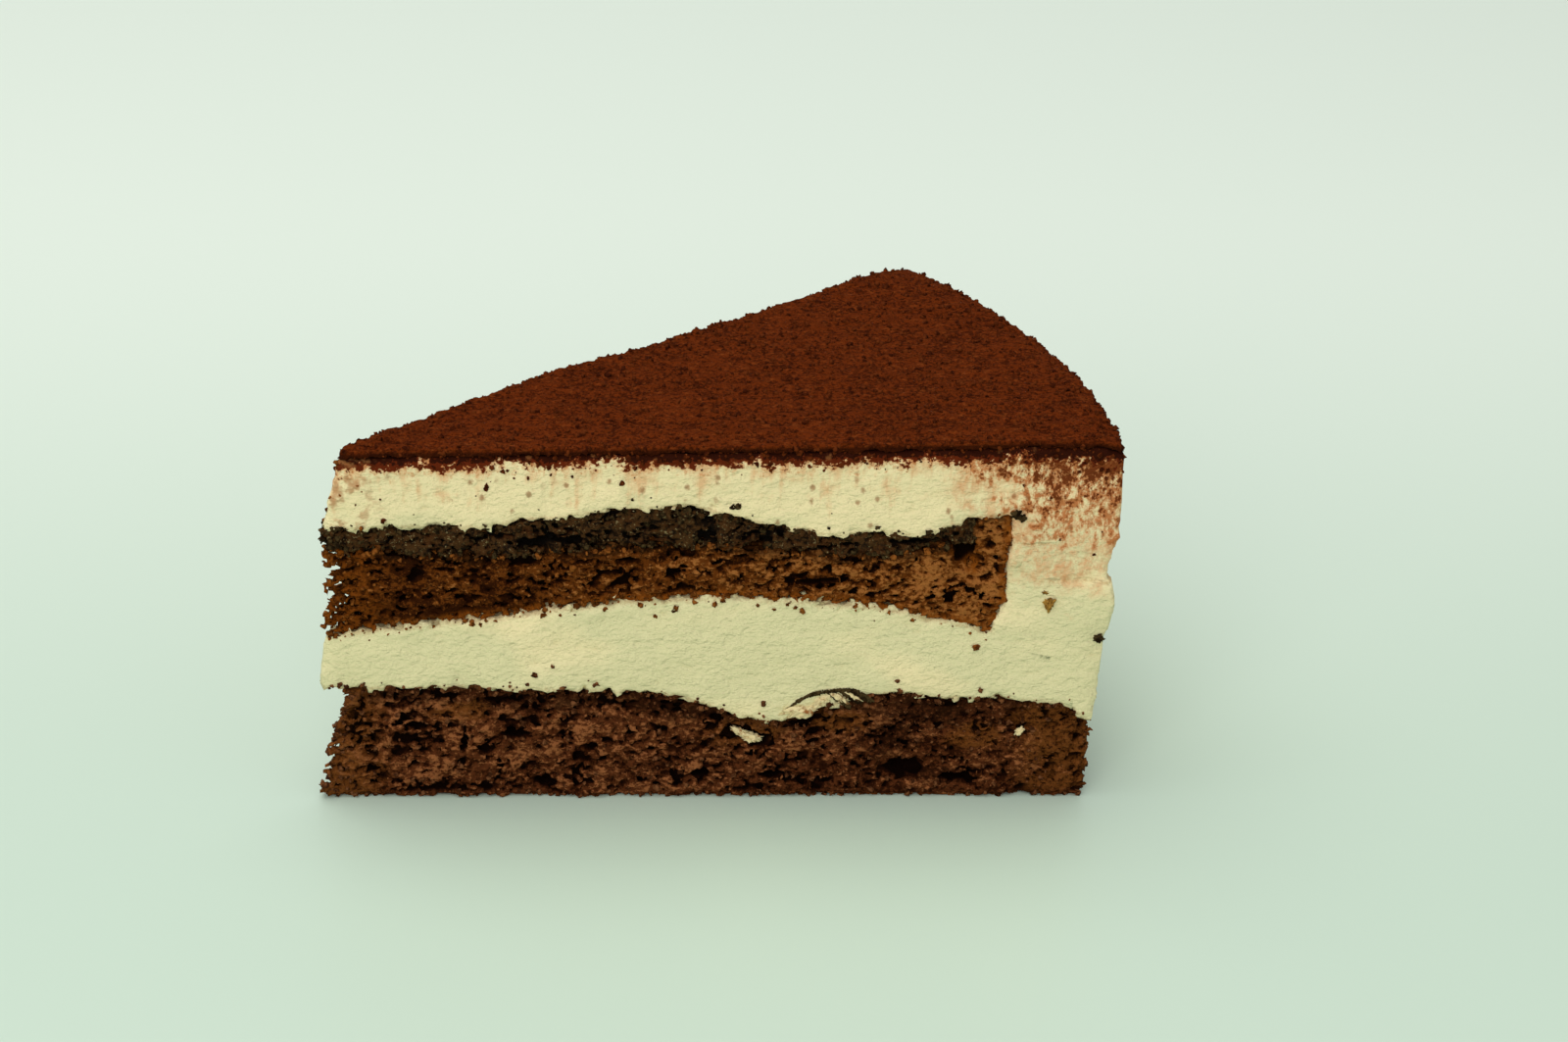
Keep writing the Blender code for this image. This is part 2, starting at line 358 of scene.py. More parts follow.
def cut_depth(graph, spot):
    """How far inside the nearer knife cut, or the rim, a spot is."""
    front = graph.split(spot)[1]
    back = Number(graph, graph.vector("DOT_PRODUCT", spot, -BACK))
    rim = RIM_X - graph.radius(spot)
    return graph.least(graph.least(front, back), rim)


def ridges(graph, place, fields, detail):
    """Rounded bumps with sharp valleys between them."""
    length = fields["Grain Length"]
    swell = graph.noise(place, (length * 1.4, length * 1.4, length), detail, 0.55)
    return (graph.math("ABSOLUTE", swell - 0.5) * 6.0 - 0.5) * fields["Grain Height"]


def crumb_shape(graph, place, spot, fields):
    """Relief of a sponge, and the depth inside its pores."""
    cut = cut_depth(graph, spot)
    slow = graph.noise(place, fields["Lump Length"], 1.0) - 0.5
    relief = slow * fields["Lump Height"] + ridges(graph, place, fields, 1.0)
    relief = relief * graph.step(cut, 4.0, 1.5, 0.2, 1.0)  # hidden walls are plainer
    sway = graph.noise(place, (1.7, 1.7, 1.1), 1.0, 0.5, 6.0) - 0.5
    swayed = graph.vector("ADD", place, graph.joined(sway * 3.0, sway * -3.0, sway * 1.6))
    x, _, z = graph.split(spot)
    relief = relief - graph.step(z, 1.8, 0.0) * 0.35  # the base draws in
    near_tip = graph.step(x, 6.0, 1.0)
    near_rim = graph.step(x, 55.0, 72.0)
    stretch = fields["Pore Stretch"]
    large_more = near_tip * -0.1 - near_rim * 0.09
    small_more = near_tip * fields["Tip Share"]
    depths = []
    for size, long, share, more, seed in (
        (fields["Pore Size"], stretch, fields["Pore Share"], large_more, 3.1),
        (fields["Small Pore Size"], stretch * 0.7, fields["Small Pore Share"], small_more, 8.3),
    ):
        far, own = graph.cells(swayed, (size * long, size * long, size), seed)
        radius = own * (share - slow * 0.9) + more
        depths.append((radius - far) * size)
    hollow = graph.most(*depths)
    hollow = hollow - graph.most((cut - fields["Pore Depth"]) * 0.8, 0.0)
    hollow = hollow - graph.step(z, 1.1, 0.2) * 0.5  # the base keeps its edge
    for hole_x, hole_z, length, height in HOLES:
        radii = Vector((length, HOLE_REACH * 2.0, height)) / 2.0
        middle = Vector((hole_x / radii.x, 0.0, hole_z / radii.z))
        far = Number(graph, graph.vector("DISTANCE", graph.stretched(spot, tuple(radii)), middle))
        hollow = graph.most(hollow, (1.0 - far + sway * 1.2) * (height / 2.0))
    return relief, hollow


LEDGE_Z = 31.2  # the wall at the rim stands out a little below this
LEDGE_OUT = 0.65


def cream_shape(graph, place, spot, fields):
    """Relief of cut cream: slow bumps, long drags of the knife and thin flakes that it tore."""
    slow = graph.noise(place, fields["Lump Length"], 1.0) - 0.5
    fine = graph.noise(place, fields["Grain Length"], 1.0) - 0.5
    drags = graph.noise(place, (7.0, 7.0, 1.6), 1.0, 0.6, 3.0) - 0.5
    flakes = graph.step(graph.noise(place, (7.0, 7.0, 3.5), 1.0, 0.45, 5.0), 0.49, 0.52)
    relief = slow * fields["Lump Height"] + fine * fields["Grain Height"]
    relief = relief + drags * fields["Drag Height"] + flakes * fields["Flake Height"]
    level = graph.split(spot)[2] + (graph.noise(place, 6.0, 1.0, 0.5, 7.0) - 0.5) * 1.5
    out = graph.step(graph.radius(spot), 84.0, 94.0)
    ledge = out * graph.step(level, LEDGE_Z + 0.15, LEDGE_Z - 0.15) * graph.step(level, 22.0, 29.0)
    return relief + ledge * LEDGE_OUT, None


def powder_shape(graph, place, _, fields):
    """Relief of sifted powder."""
    length = fields["Lump Length"]
    slow = graph.noise(place, (length * 1.5, length, length), 2.0) - 0.5
    return slow * fields["Lump Height"] + ridges(graph, place, fields, 3.0), None


def wandering(graph, position, place, spot, fields):
    """The position, shifted up and outward by patterns, so that a layer's borders wander."""
    length = fields["Border Length"]
    high = graph.noise(place, (length, length, length * 0.8), 1.0, 0.7, 11.0) - 0.5
    out = graph.noise(place, length, 1.0, 0.5, 17.0) - 0.5
    x, _, z = graph.split(spot)
    amount = fields["Border Height"] * MM * graph.step(z, 0.4, 2.5) * graph.step(z, 47.0, 45.0)
    outward = out * amount * fields["Border Reach"] * graph.step(x, 2.0, 8.0, 0.35, 1.0)
    way = graph.vector("NORMALIZE", graph.level_way(spot))
    upward = graph.joined(z=high * amount)
    shift = graph.vector("MULTIPLY_ADD", way, graph.joined(outward, outward), upward)
    return graph.vector("ADD", position, shift)


ADAPTIVITY = 0.05  # how readily even parts of a skin get larger faces


def body_tree(name, shape, more_sockets=(), wanders=False):
    """Solid to volume, with relief and pores in its skin, and back to one closed mesh."""
    graph, solid, material, fields = named_tree(name, VOXEL_SOCKETS + more_sockets)
    position = graph.node("GeometryNodeInputPosition").outputs[0]
    spot = graph.vector("DIVIDE", graph.vector("SUBTRACT", position, TIP), (MM, MM, MM))
    seed = fields["Seed"]
    place = graph.vector("ADD", spot, graph.joined(seed, seed * 0.7, seed * -1.3))

    sample = wandering(graph, position, place, spot, fields) if wanders else position
    side = inside(graph, solid, sample) * 2.0 - 1.0
    density = distance_mm(graph, solid, sample) * side + fields["Grow"]
    relief, hollow = shape(graph, place, spot, fields)
    density = density + relief
    if hollow:
        density = graph.least(density, hollow * -1.0)
    density = graph.least(density, graph.split(spot)[2])  # nothing below the plate

    box = graph.node("GeometryNodeBoundBox", values={"Geometry": solid})
    margin = (MM, MM, MM)
    low = graph.vector("SUBTRACT", box.outputs["Min"], margin)
    high = graph.vector("ADD", box.outputs["Max"], margin)
    span = graph.split(graph.vector("SUBTRACT", high, low))
    voxel = (fields["Voxel Along"], fields["Voxel Along"], fields["Voxel High"])
    counts = [length / (size * MM) for length, size in zip(span, voxel)]
    volume = graph.node(
        "GeometryNodeVolumeCube",
        values={"Density": density, "Background": -1.0, "Min": low, "Max": high,
                "Resolution X": counts[0], "Resolution Y": counts[1], "Resolution Z": counts[2]},
    )
    meshed = graph.node(
        "GeometryNodeVolumeToMesh",
        values={"Volume": volume.outputs[0], "Threshold": 0.0, "Adaptivity": ADAPTIVITY},
    )
    finish_tree(graph, largest_island(graph, meshed.outputs["Mesh"]), material)
    return graph.tree


def finish_tree(graph, geometry, material):
    """Ends a tree: smooth shading, real geometry and the material."""
    smooth = graph.node("GeometryNodeSetShadeSmooth", values={"Geometry": geometry})
    realized = graph.node("GeometryNodeRealizeInstances", values={"Geometry": smooth.outputs[0]})
    painted = graph.node(
        "GeometryNodeSetMaterial", values={"Geometry": realized.outputs[0], "Material": material}
    )
    graph.node("NodeGroupOutput", values={"Geometry": painted.outputs[0]})


def largest_island(graph, geometry):
    """Drops every loose scrap and every sealed pore."""
    island = graph.node("GeometryNodeInputMeshIsland").outputs["Island Index"]
    count = graph.node("GeometryNodeAccumulateField", {"data_type": "INT"}, {"Group ID": island})
    count.inputs[0].default_value = 1
    total = count.outputs["Total"]
    largest = graph.node("GeometryNodeAttributeStatistic", {"domain": "POINT"}, {"Geometry": geometry})
    graph.feed(largest.inputs["Attribute"], total)
    scrap = Number(graph, total) < Number(graph, largest.outputs["Max"])
    kept = graph.node("GeometryNodeDeleteGeometry", values={"Geometry": geometry, "Selection": scrap})
    return kept.outputs[0]


def measure_tree():
    """Keeps each point's distances in millimetres from walls of the solid, and its height outside."""
    graph, kept, material, _ = named_tree("wall distances", ())
    graph.tree.interface.new_socket("Solid", in_out="INPUT", socket_type="NodeSocketObject")
    given = graph.node("NodeGroupInput").outputs
    solid = graph.node("GeometryNodeObjectInfo", values={"Object": given["Solid"]}).outputs["Geometry"]
    position = graph.node("GeometryNodeInputPosition").outputs[0]
    side = inside(graph, solid, position) * -2.0 + 1.0
    measures = {"height": distance_mm(graph, solid) * side}
    for label in ("cut", "lid", "bed"):
        measures[label] = distance_mm(graph, chosen_faces(graph, solid, label))
    for label, value in measures.items():
        kept = graph.stored(kept, "POINT", label, value)
    finish_tree(graph, kept, material)
    return graph.tree


def set_inputs(modifier, values):
    """Sets a nodes modifier's inputs by name, through their identifiers."""
    identifiers = {
        item.name: item.identifier
        for item in modifier.node_group.interface.items_tree
        if item.item_type == "SOCKET" and item.in_out == "INPUT"
    }
    for name, value in values.items():
        modifier[identifiers[name]] = value


def bake_down(piece):
    """Puts the evaluated mesh in place of the piece's own and removes its modifiers."""
    old = piece.data
    graph = bpy.context.evaluated_depsgraph_get()
    mesh = bpy.data.meshes.new_from_object(
        piece.evaluated_get(graph), preserve_all_data_layers=True, depsgraph=graph
    )
    mesh.name = piece.name
    piece.modifiers.clear()
    piece.data = mesh
    bpy.data.meshes.remove(old)


def add_object(name, mesh):
    piece = bpy.data.objects.new(name, mesh)
    bpy.context.scene.collection.objects.link(piece)
    return piece


def face_vectors(mesh, kind):
    values = np.empty(len(mesh.polygons) * 3, np.float32)
    mesh.polygons.foreach_get(kind, values)
    return values.reshape(-1, 3)


LID_DROP = {"cream": 4.0}  # the cream's lid is only its topmost wall
# Shares of a normal past which a face is upright enough, level enough or tilted up enough
UPRIGHT, LEVEL, TILTED_UP = 0.5, 0.75, 0.3
TIP_WALL_X = 2.0  # the wall of the tip stays below this x


def marked_solid(node):
    """A copy of a layer's solid, merged, whose faces say which wall they are part of.

    cut: the two knife cuts, the tip and the rim, which show. lid: what faces up, under the next
    layer. bed: every other hidden wall.
    """
    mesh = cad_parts[node].data.copy()
    loose = bmesh.new()
    loose.from_mesh(mesh)
    bmesh.ops.remove_doubles(loose, verts=loose.verts, dist=0.001 * MM)
    loose.to_mesh(mesh)
    loose.free()
    normals = face_vectors(mesh, "normal")
    spots = (face_vectors(mesh, "center") - np.array(TIP)) / MM
    outward = spots * (1.0, 1.0, 0.0)
    radius = np.linalg.norm(outward, axis=1)
    outward /= radius[:, None]
    front = normals[:, 1] < -UPRIGHT
    back = normals @ np.array(BACK) > UPRIGHT
    tip = (normals[:, 0] < -UPRIGHT) & (spots[:, 0] < TIP_WALL_X)
    rim = (np.sum(normals * outward, axis=1) > UPRIGHT) & (radius > RIM_RADIUS)
    cut = (front | back | tip | rim) & (np.abs(normals[:, 2]) < LEVEL)
    top = np.max(spots[:, 2]) - LID_DROP.get(node, math.inf)
    lid = ~cut & (normals[:, 2] > TILTED_UP) & (spots[:, 2] > top)
    for label, faces in (("cut", cut), ("lid", lid), ("bed", ~cut & ~lid)):
        flag = mesh.attributes.new(label, "FLOAT", "FACE")
        flag.data.foreach_set("value", faces.astype(np.float32))
    return add_object(node + "_solid", mesh)


def keep_above_plate(mesh):
    for vertex in mesh.vertices:
        vertex.co.z = max(vertex.co.z, 0.0)


def torn_layer(name, node, kind, material, most_triangles, values):
    """Makes the piece that stands for a layer's solid."""
    solid = marked_solid(node)
    piece = add_object(name, solid.data.copy())
    shape = piece.modifiers.new("body", "NODES")
    shape.node_group = shared_tree(kind)
    set_inputs(shape, {"Material": material, **values})
    bake_down(piece)
    piece.data.calc_loop_triangles()
    count = len(piece.data.loop_triangles)
    if count > most_triangles:
        thin = piece.modifiers.new("thin", "DECIMATE")
        thin.ratio = most_triangles / count
        thin.use_collapse_triangulate = True
    measure = piece.modifiers.new("wall distances", "NODES")
    measure.node_group = shared_tree("measure")
    set_inputs(measure, {"Solid": solid, "Material": material})
    bake_down(piece)
    keep_above_plate(piece.data)
    bpy.data.objects.remove(solid)
    print(f"{name}: {count} triangles, {len(piece.data.polygons)} kept", flush=True)
    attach(piece, BODY)
    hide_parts(node)
    return piece


# ---------------------------------------------------------------- grains and crumbs

GRAIN_SOCKETS = (
    ("Density", 1.0, "Grains for each square millimetre where the chance is 1"),
    ("Smallest", 0.15, "Smallest grain's radius"),
    ("Largest", 0.3, "Largest grain's radius"),
    ("Ragged", 0.5, "How far a grain's shape departs from round, as a share of its radius"),
    ("Seed", 0.0, "Moves the grains"),
)


DENT = 0.35  # size of the dents in a grain


def grain_tree(name, subdivisions):
    """Scatters ragged grains over a surface, by its chance attribute."""
    graph, surface, material, fields = named_tree(name, GRAIN_SOCKETS)
    density = graph.named("chance") * fields["Density"] * (1 / MM ** 2)
    points = graph.node(
        "GeometryNodeDistributePointsOnFaces", {"distribute_method": "RANDOM"},
        {"Mesh": surface, "Density": density, "Seed": fields["Seed"]},
    )
    turn = graph.node(
        "FunctionNodeRandomValue", {"data_type": "FLOAT_VECTOR"},
        {"Min": (0.0, 0.0, 0.0), "Max": (math.tau,) * 3, "Seed": fields["Seed"]},
    )
    share = graph.node("FunctionNodeRandomValue", {"data_type": "FLOAT"}, {"Seed": fields["Seed"] + 1.0})
    share = Number(graph, share.outputs[1])
    radius = fields["Smallest"] + share * share * (fields["Largest"] - fields["Smallest"])
    ball = graph.node(
        "GeometryNodeMeshIcoSphere", values={"Radius": MM, "Subdivisions": subdivisions}
    )
    placed = graph.node(
        "GeometryNodeInstanceOnPoints",
        values={"Points": points.outputs["Points"], "Instance": ball.outputs["Mesh"],
                "Rotation": turn.outputs[0], "Scale": radius},
    )
    sized = graph.stored(placed.outputs[0], "INSTANCE", "radius", radius)
    real = graph.node("GeometryNodeRealizeInstances", values={"Geometry": sized})
    position = graph.node("GeometryNodeInputPosition").outputs[0]
    wave = graph.node(
        "ShaderNodeTexNoise", {"noise_dimensions": "3D"},
        {"Vector": graph.stretched(position, (DENT * MM,) * 3), "Scale": 1.0, "Detail": 1.0},
    )
    centred = graph.vector("SUBTRACT", wave.outputs["Color"], (0.5, 0.5, 0.5))
    amount = graph.named("radius") * fields["Ragged"] * (4.0 * MM)
    offset = graph.vector("MULTIPLY", centred, graph.joined(amount, amount, amount))
    moved = graph.node("GeometryNodeSetPosition", values={"Geometry": real.outputs[0], "Offset": offset})
    finish_tree(graph, moved.outputs[0], material)
    return graph.tree


def read_points(mesh, label):
    values = np.empty(len(mesh.vertices), np.float32)
    mesh.attributes[label].data.foreach_get("value", values)
    return values


def spots_of(mesh):
    """The mesh's points in millimetres from the tip."""
    places = np.empty(len(mesh.vertices) * 3, np.float32)
    mesh.vertices.foreach_get("co", places)
    return (places.reshape(-1, 3) - np.array(TIP)) / MM


def scattered(name, sources, kind, material, values):
    """A piece of grains on copies of the sources, (piece, chance of each point) pairs."""
    joined = bmesh.new()
    for source, chance in sources:
        mesh = source.data.copy()
        layer = mesh.attributes.new("chance", "FLOAT", "POINT")
        layer.data.foreach_set("value", np.clip(chance, 0.0, 1.0).astype(np.float32))
        joined.from_mesh(mesh)
        bpy.data.meshes.remove(mesh)
    mesh = bpy.data.meshes.new(name)
    joined.to_mesh(mesh)
    joined.free()
    piece = add_object(name, mesh)
    scatter = piece.modifiers.new("scatter", "NODES")
    scatter.node_group = shared_tree(kind)
    set_inputs(scatter, {"Material": material, **values})
    bake_down(piece)
    keep_above_plate(piece.data)
    print(f"{name}: {len(piece.data.polygons)} triangles", flush=True)
    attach(piece, BODY)
    return piece


def smooth_share(values, low, high):
    """0 below low and 1 above high, or the other way round."""
    share = np.clip((values - low) / (high - low), 0.0, 1.0)
    return share * share * (3.0 - 2.0 * share)


# The node trees, each made when it is first asked for
TREE_MAKERS = {
    "crumb": lambda: body_tree("torn crumb", crumb_shape, PORE_SOCKETS, wanders=True),
    "cream": lambda: body_tree("cut cream", cream_shape, CREAM_SOCKETS, wanders=True),
    "powder": lambda: body_tree("sifted powder", powder_shape),
    "measure": measure_tree,
    "fine grains": lambda: grain_tree("fine grains", 1),
    "crumbs": lambda: grain_tree("crumbs", 2),
}
TREES = {}


def shared_tree(kind):
    if kind not in TREES:
        TREES[kind] = TREE_MAKERS[kind]()
    return TREES[kind]


# ---------------------------------------------------------------- finishes


def spot_share(look, area, patch):
    """1 inside a ragged spot of the front cut, (x, z, length, height), and 0 outside."""
    x, z, length, tall = area
    centre = (x * 2.0 / length, 0.0, z * 2.0 / tall)
    sizes = (length / 2.0, 6.0, tall / 2.0)
    far = Number(look, look.vector("DISTANCE", look.stretched(look.spot, sizes), centre))
    return look.step(far + (patch - 0.5) * 1.5, 1.2, 0.5)


def crumb_finish(name, tones, soaked, crust, pore, rise=0.0, warm_spots=(), dark_spots=()):
    """Sponge crumb: painted shade in its pores, painted light on its ridges, soaked under its lid.

    tones: three browns, dark to light. soaked: colour and depth of the soaked zone. crust: colour
    and thickness of the crust along its bed. rise: how much lighter it gets toward the rim.
    warm_spots and dark_spots: places of the crust's and of the soaked colour in the front cut.
    pore: colour of the painted shade deep in the pores.
    """
    look = Finish(name, 0.95)
    place = look.place
    x = look.split(look.spot)[0]
    height = look.attribute("height")
    grain = look.noise(place, (0.55, 0.55, 0.45), 3.0, 0.7)
    patch = look.noise(place, (7.0, 7.0, 3.0), 2.0, 0.5, 4.0)
    # painted light: lighter also grows with the relief's height, so raised crumb is painted lighter and
    # sunken crumb darker, on top of random patches and the rise
    lighter = (patch - 0.5) * 0.4 + (x - 45.0) * rise + height * 0.28
    colour = look.mix(look.step(grain + lighter, 0.38, 0.56), tones[0], tones[1])
    # the lightest tone: partly the crumb's own grain, partly a painted highlight on raised relief through
    # lighter
    ridge = look.noise(place, (0.7, 0.7, 0.45), 3.0, 0.7, 9.0) + lighter
    colour = look.mix(look.step(ridge, 0.54, 0.7) * 0.9, colour, tones[2])
    wet, wet_mm = soaked
    ragged = look.attribute("lid") + (look.noise(place, (3.0, 3.0, 1.2), 3.0) - 0.5) * (wet_mm * 2.4)
    colour = look.mix(look.step(ragged, wet_mm, wet_mm * 0.2) * 0.7, colour, wet)
    brown, crust_mm = crust
    baked = look.attribute("bed") + (grain - 0.5) * (crust_mm * 1.6)
    warm = look.step(baked, crust_mm, crust_mm * 0.4) * 0.9
    # painted glow: near the tip the crumb is painted orange, as light shining through the thin crumb
    warm = look.most(warm, look.step(x + (patch - 0.5) * 8.0, 7.0, 1.0) * 0.65)
    for area in warm_spots:
        warm = look.most(warm, spot_share(look, area, patch) * 0.65)
    colour = look.mix(warm * look.step(grain, 0.34, 0.54), colour, brown)
    for area in dark_spots:
        share = spot_share(look, area, patch) * look.step(grain, 0.64, 0.46)
        colour = look.mix(share * 0.75, colour, wet)
    # painted shade: the walls deep in the pores are painted the dark pore colour
    colour = look.mix(look.step(height, -0.15, -0.9) * 0.9, colour, pore)
    return look.finish(colour, look.noise(place, 0.4, 3.0, 0.75, 2.0), 0.45)


def wet_finish():
    """Coffee-soaked crumb, nearly black, with painted light on its raised grains, small pale glints
    painted as highlights, and painted shade in its pores.
    """
    look = Finish("wet_crumb", 0.6, 0.06)
    place = look.place
    height = look.attribute("height")
    grain = look.noise(place, 0.6, 3.0, 0.7)
    # painted light: raised grains are painted lighter
    colour = look.mix(look.step(grain + height * 0.25, 0.4, 0.62), srgb(24, 13, 5), srgb(78, 50, 23))
    # painted highlights: the pale glints, more of them on raised grains
    glint = look.noise(place, 0.35, 2.0, 0.6, 3.0) + height * 0.15
    colour = look.mix(look.step(glint, 0.65, 0.72) * 0.8, colour, srgb(150, 132, 92))
    brown = look.noise(place, (2.2, 2.2, 1.0), 2.0, 0.6, 8.0)
    colour = look.mix(look.step(brown, 0.52, 0.68) * 0.45, colour, srgb(92, 50, 19))
    # painted shade: sunken walls in the pores are painted near black
    colour = look.mix(look.step(height, -0.1, -0.7) * 0.9, colour, srgb(10, 6, 2))
    return look.finish(colour, look.noise(place, 0.4, 3.0, 0.75), 0.45)


# Cracks in the cream of the front cut: height, and the radii where they start and end
CRACKS = ((LEDGE_Z, 85.0, 98.0), (36.0, 82.0, 87.0))


def cream_finish(settings):
    """Cut cream, dirtied by the cocoa that the knife dragged down from the top."""
    look = Finish("mascarpone_cream", 0.6, 0.05)
    place = look.place
    spot = look.spot
    x, _, z = look.split(spot)
    radius = look.radius(spot)
    drop = look.attribute("lid")
    patch = look.noise(place, (16.0, 16.0, 8.0), 2.0)
    # painted light: besides its random warm patches, the cream is painted warmer and paler toward the
    # top, as if lit from above
    colour = look.mix(
        look.step(patch + (z - 30.0) * 0.01, 0.4, 0.62),
        tuple(settings.cream_cool), tuple(settings.cream_warm),
    )
    wrinkles = look.noise(place, (1.5, 1.5, 1.0), 3.0, 0.62)
    # painted shade: sunken cream and the hollows of the wrinkles are painted a darker tan
    hollow = look.step(look.attribute("height") + (wrinkles - 0.5) * 1.4, -0.05, -0.45)
    colour = look.mix(hollow * 0.35, colour, srgb(198, 178, 120))

    # Cocoa: a dark line under the lid, ragged red-brown knobs, tan veils, and mottles at the rim
    clouds = look.noise(place, (2.6, 2.6, 2.2), 3.0, 0.6, 14.0)
    outer = look.step(radius + (clouds - 0.5) * 22.0, 71.0, 84.0)
    low_down = look.step(drop + (patch - 0.5) * 8.0, 10.0, 18.0)
    deep = drop * (0.11 - outer * 0.1) + low_down * outer * 0.22
    wide = look.noise(place, (5.0, 5.0, 60.0), 2.0, 0.5, 6.0) - 0.5
    fine = look.noise(place, 0.5, 3.0, 0.65)
    columns = look.noise(place, (1.5, 1.5, 9.0), 3.0, 0.6, 2.0)
    blots = look.noise(place, (1.0, 1.0, 1.5), 4.0, 0.72, 5.0)
    knobs = look.noise(place, (1.0, 1.0, 0.9), 3.0, 0.65, 1.0)
    tint = look.step(drop + (clouds - 0.5) * 24.0, 21.0, 10.0) * outer * look.step(blots, 0.3, 0.6)
    colour = look.mix(tint * 0.9, colour, srgb(222, 154, 104))
    veil = look.step(columns * 0.6 + clouds * 0.4 - drop * 0.03 + wide * 0.4, 0.36, 0.56)
    colour = look.mix(veil * 0.55, colour, srgb(222, 150, 96))
    higher = look.step(drop, 8.0, 1.0) * outer * 0.02
    blotch = look.step(blots - deep + wide * 0.25 + higher, 0.36, 0.48)
    colour = look.mix(blotch * 0.75, colour, srgb(182, 100, 44))
    spots = look.step(fine * 0.35 + blots * 0.65 - deep * 1.15 + wide * 0.2 + higher, 0.46, 0.52)
    colour = look.mix(spots * 0.95, colour, srgb(104, 46, 17))
    ragged = knobs + (fine - 0.5) * 0.4 + wide * 0.5
    halo = look.step(ragged - drop * 0.16, 0.16, 0.3) * (1.0 - outer * 0.5)
    colour = look.mix(halo * 0.5, colour, srgb(204, 124, 64))
    red = look.step(ragged - drop * (0.19 - outer * 0.03), 0.25, 0.3)
    colour = look.mix(red, colour, srgb(98, 36, 12))
    dark = look.step(ragged - drop * (0.42 - outer * 0.22), 0.28, 0.34)
    colour = look.mix(dark, colour, srgb(50, 17, 6))
    # Specks of cocoa, smudges at the tip, and brown from the sponges beside it
    far, own = look.cells(place, (1.9, 1.9, 2.4), seed=4.0)
    speck = look.step(far + (fine - 0.5) * 0.35, 0.26, 0.08) * look.step(own, 0.45, 0.6)
    speck = speck * look.step(z, 33.0, 40.0)
    colour = look.mix(speck * 0.7, colour, srgb(150, 92, 50))
    smudge = look.step(clouds, 0.52, 0.64) * look.step(x, 7.0, 1.5) * look.step(z, 34.0, 38.0)
    colour = look.mix(smudge * 0.6, colour, srgb(172, 112, 66))
    near = look.attribute("bed") + (fine - 0.5) * 1.6
    colour = look.mix(look.step(near, 0.6, -0.1) * 0.45, colour, srgb(164, 116, 66))
    look.feed(look.shader.inputs["Roughness"], look.most(red, spots) * 0.35 + 0.6)

    relief = wrinkles + look.noise(place, (0.7, 0.7, 0.5), 2.0, 0.55, 3.0) * 0.35
    level = z + (look.noise(place, 5.0, 2.0, 0.6, 7.0) - 0.5) * 2.0
    for height, start, end in CRACKS:
        line = look.step(look.math("ABSOLUTE", level - height), 0.35, 0.05)
        line = line * look.step(radius, start, start + 3.0) * look.step(radius, end + 2.0, end)
        colour = look.mix(line * look.step(fine, 0.35, 0.6) * 0.5, colour, srgb(182, 138, 82))
        relief = relief - line * 0.25
    return look.finish(colour, relief, 0.65)


def cocoa_finish(settings):
    """Cocoa powder in the setting's brown, with dark clumps, painted light on raised powder, painted
    highlights on light crests, and a dark cut edge that is partly damp cocoa and partly painted shade.
    """
    look = Finish("cocoa_powder", 0.95, 0.02)
    place = look.place
    grain = look.noise(place, 0.45, 3.0, 0.65)
    slow = look.noise(place, (9.0, 9.0, 4.0), 2.0, 0.5, 3.0)
    # painted light: raised powder is painted lighter by its height
    tone = grain + (slow - 0.5) * 0.15 + look.attribute("height") * 0.5
    colour = look.mix(look.step(tone, 0.38, 0.66), srgb(64, 23, 5), tuple(settings.cocoa))
    clump = look.noise(place, 1.2, 2.0, 0.6, 7.0)
    colour = look.mix(look.step(clump, 0.68, 0.76) * 0.4, colour, srgb(38, 13, 4))
    # painted highlight: lighter brown on the crests of the ripples
    crest_highlight = look.noise(place, (1.1, 0.8, 0.8), 3.0, 0.65, 12.0)
    colour = look.mix(look.step(crest_highlight, 0.54, 0.72) * 0.6, colour, srgb(136, 66, 26))
    # the side wall is darker: partly damp, packed cocoa, partly painted shade on the powder's side
    side = look.step(look.attribute("lid") + (grain - 0.5) * 0.3, 0.12, 0.5)
    colour = look.mix(side * 0.78, colour, srgb(44, 16, 5))
    ripples = look.noise(place, (1.3, 0.9, 1.0), 3.0, 0.6, 2.0)
    return look.finish(colour, ripples + look.noise(place, 0.3, 2.0, 0.7) * 0.35, 0.9)


def grain_finish(name, first, second, roughness=0.9):
    """Loose grains and crumbs in two tones."""
    look = Finish(name, roughness)
    grain = look.noise(look.place, 0.9, 2.0, 0.6)
    colour = look.mix(look.step(grain, 0.38, 0.62), first, second)
    return look.finish(colour, look.noise(look.place, 0.2, 2.0, 0.6), 0.08)


# ---------------------------------------------------------------- settings and operators


def colour_setting(name, description, default):
    return FloatVectorProperty(
        name=name, description=description, subtype="COLOR", size=4, default=default, min=0.0, max=1.0
    )


class SliceSettings(bpy.types.PropertyGroup):
    """Colours and sizes of the slice's finishes."""

    cream_cool: colour_setting("Cream", "Colour of the cut cream", srgb(232, 222, 174))
    # also the colour of the painted light toward the top of the cream
    cream_warm: colour_setting(
        "Warm cream", "Colour of the cream's warmer patches", srgb(248, 230, 181)
    )
    cocoa: colour_setting("Cocoa", "Colour of the dry cocoa powder", srgb(108, 44, 12))
    pore_mm: FloatProperty(
        name="Pore height", description="Height of a large pore's cell in the sponges, in millimetres",
        default=1.05, min=0.5, max=4.0,
    )
    grain_density: FloatProperty(
        name="Grain density", description="Cocoa grains for each square millimetre of the top",
        default=1.6, min=0.0, max=5.0,
    )


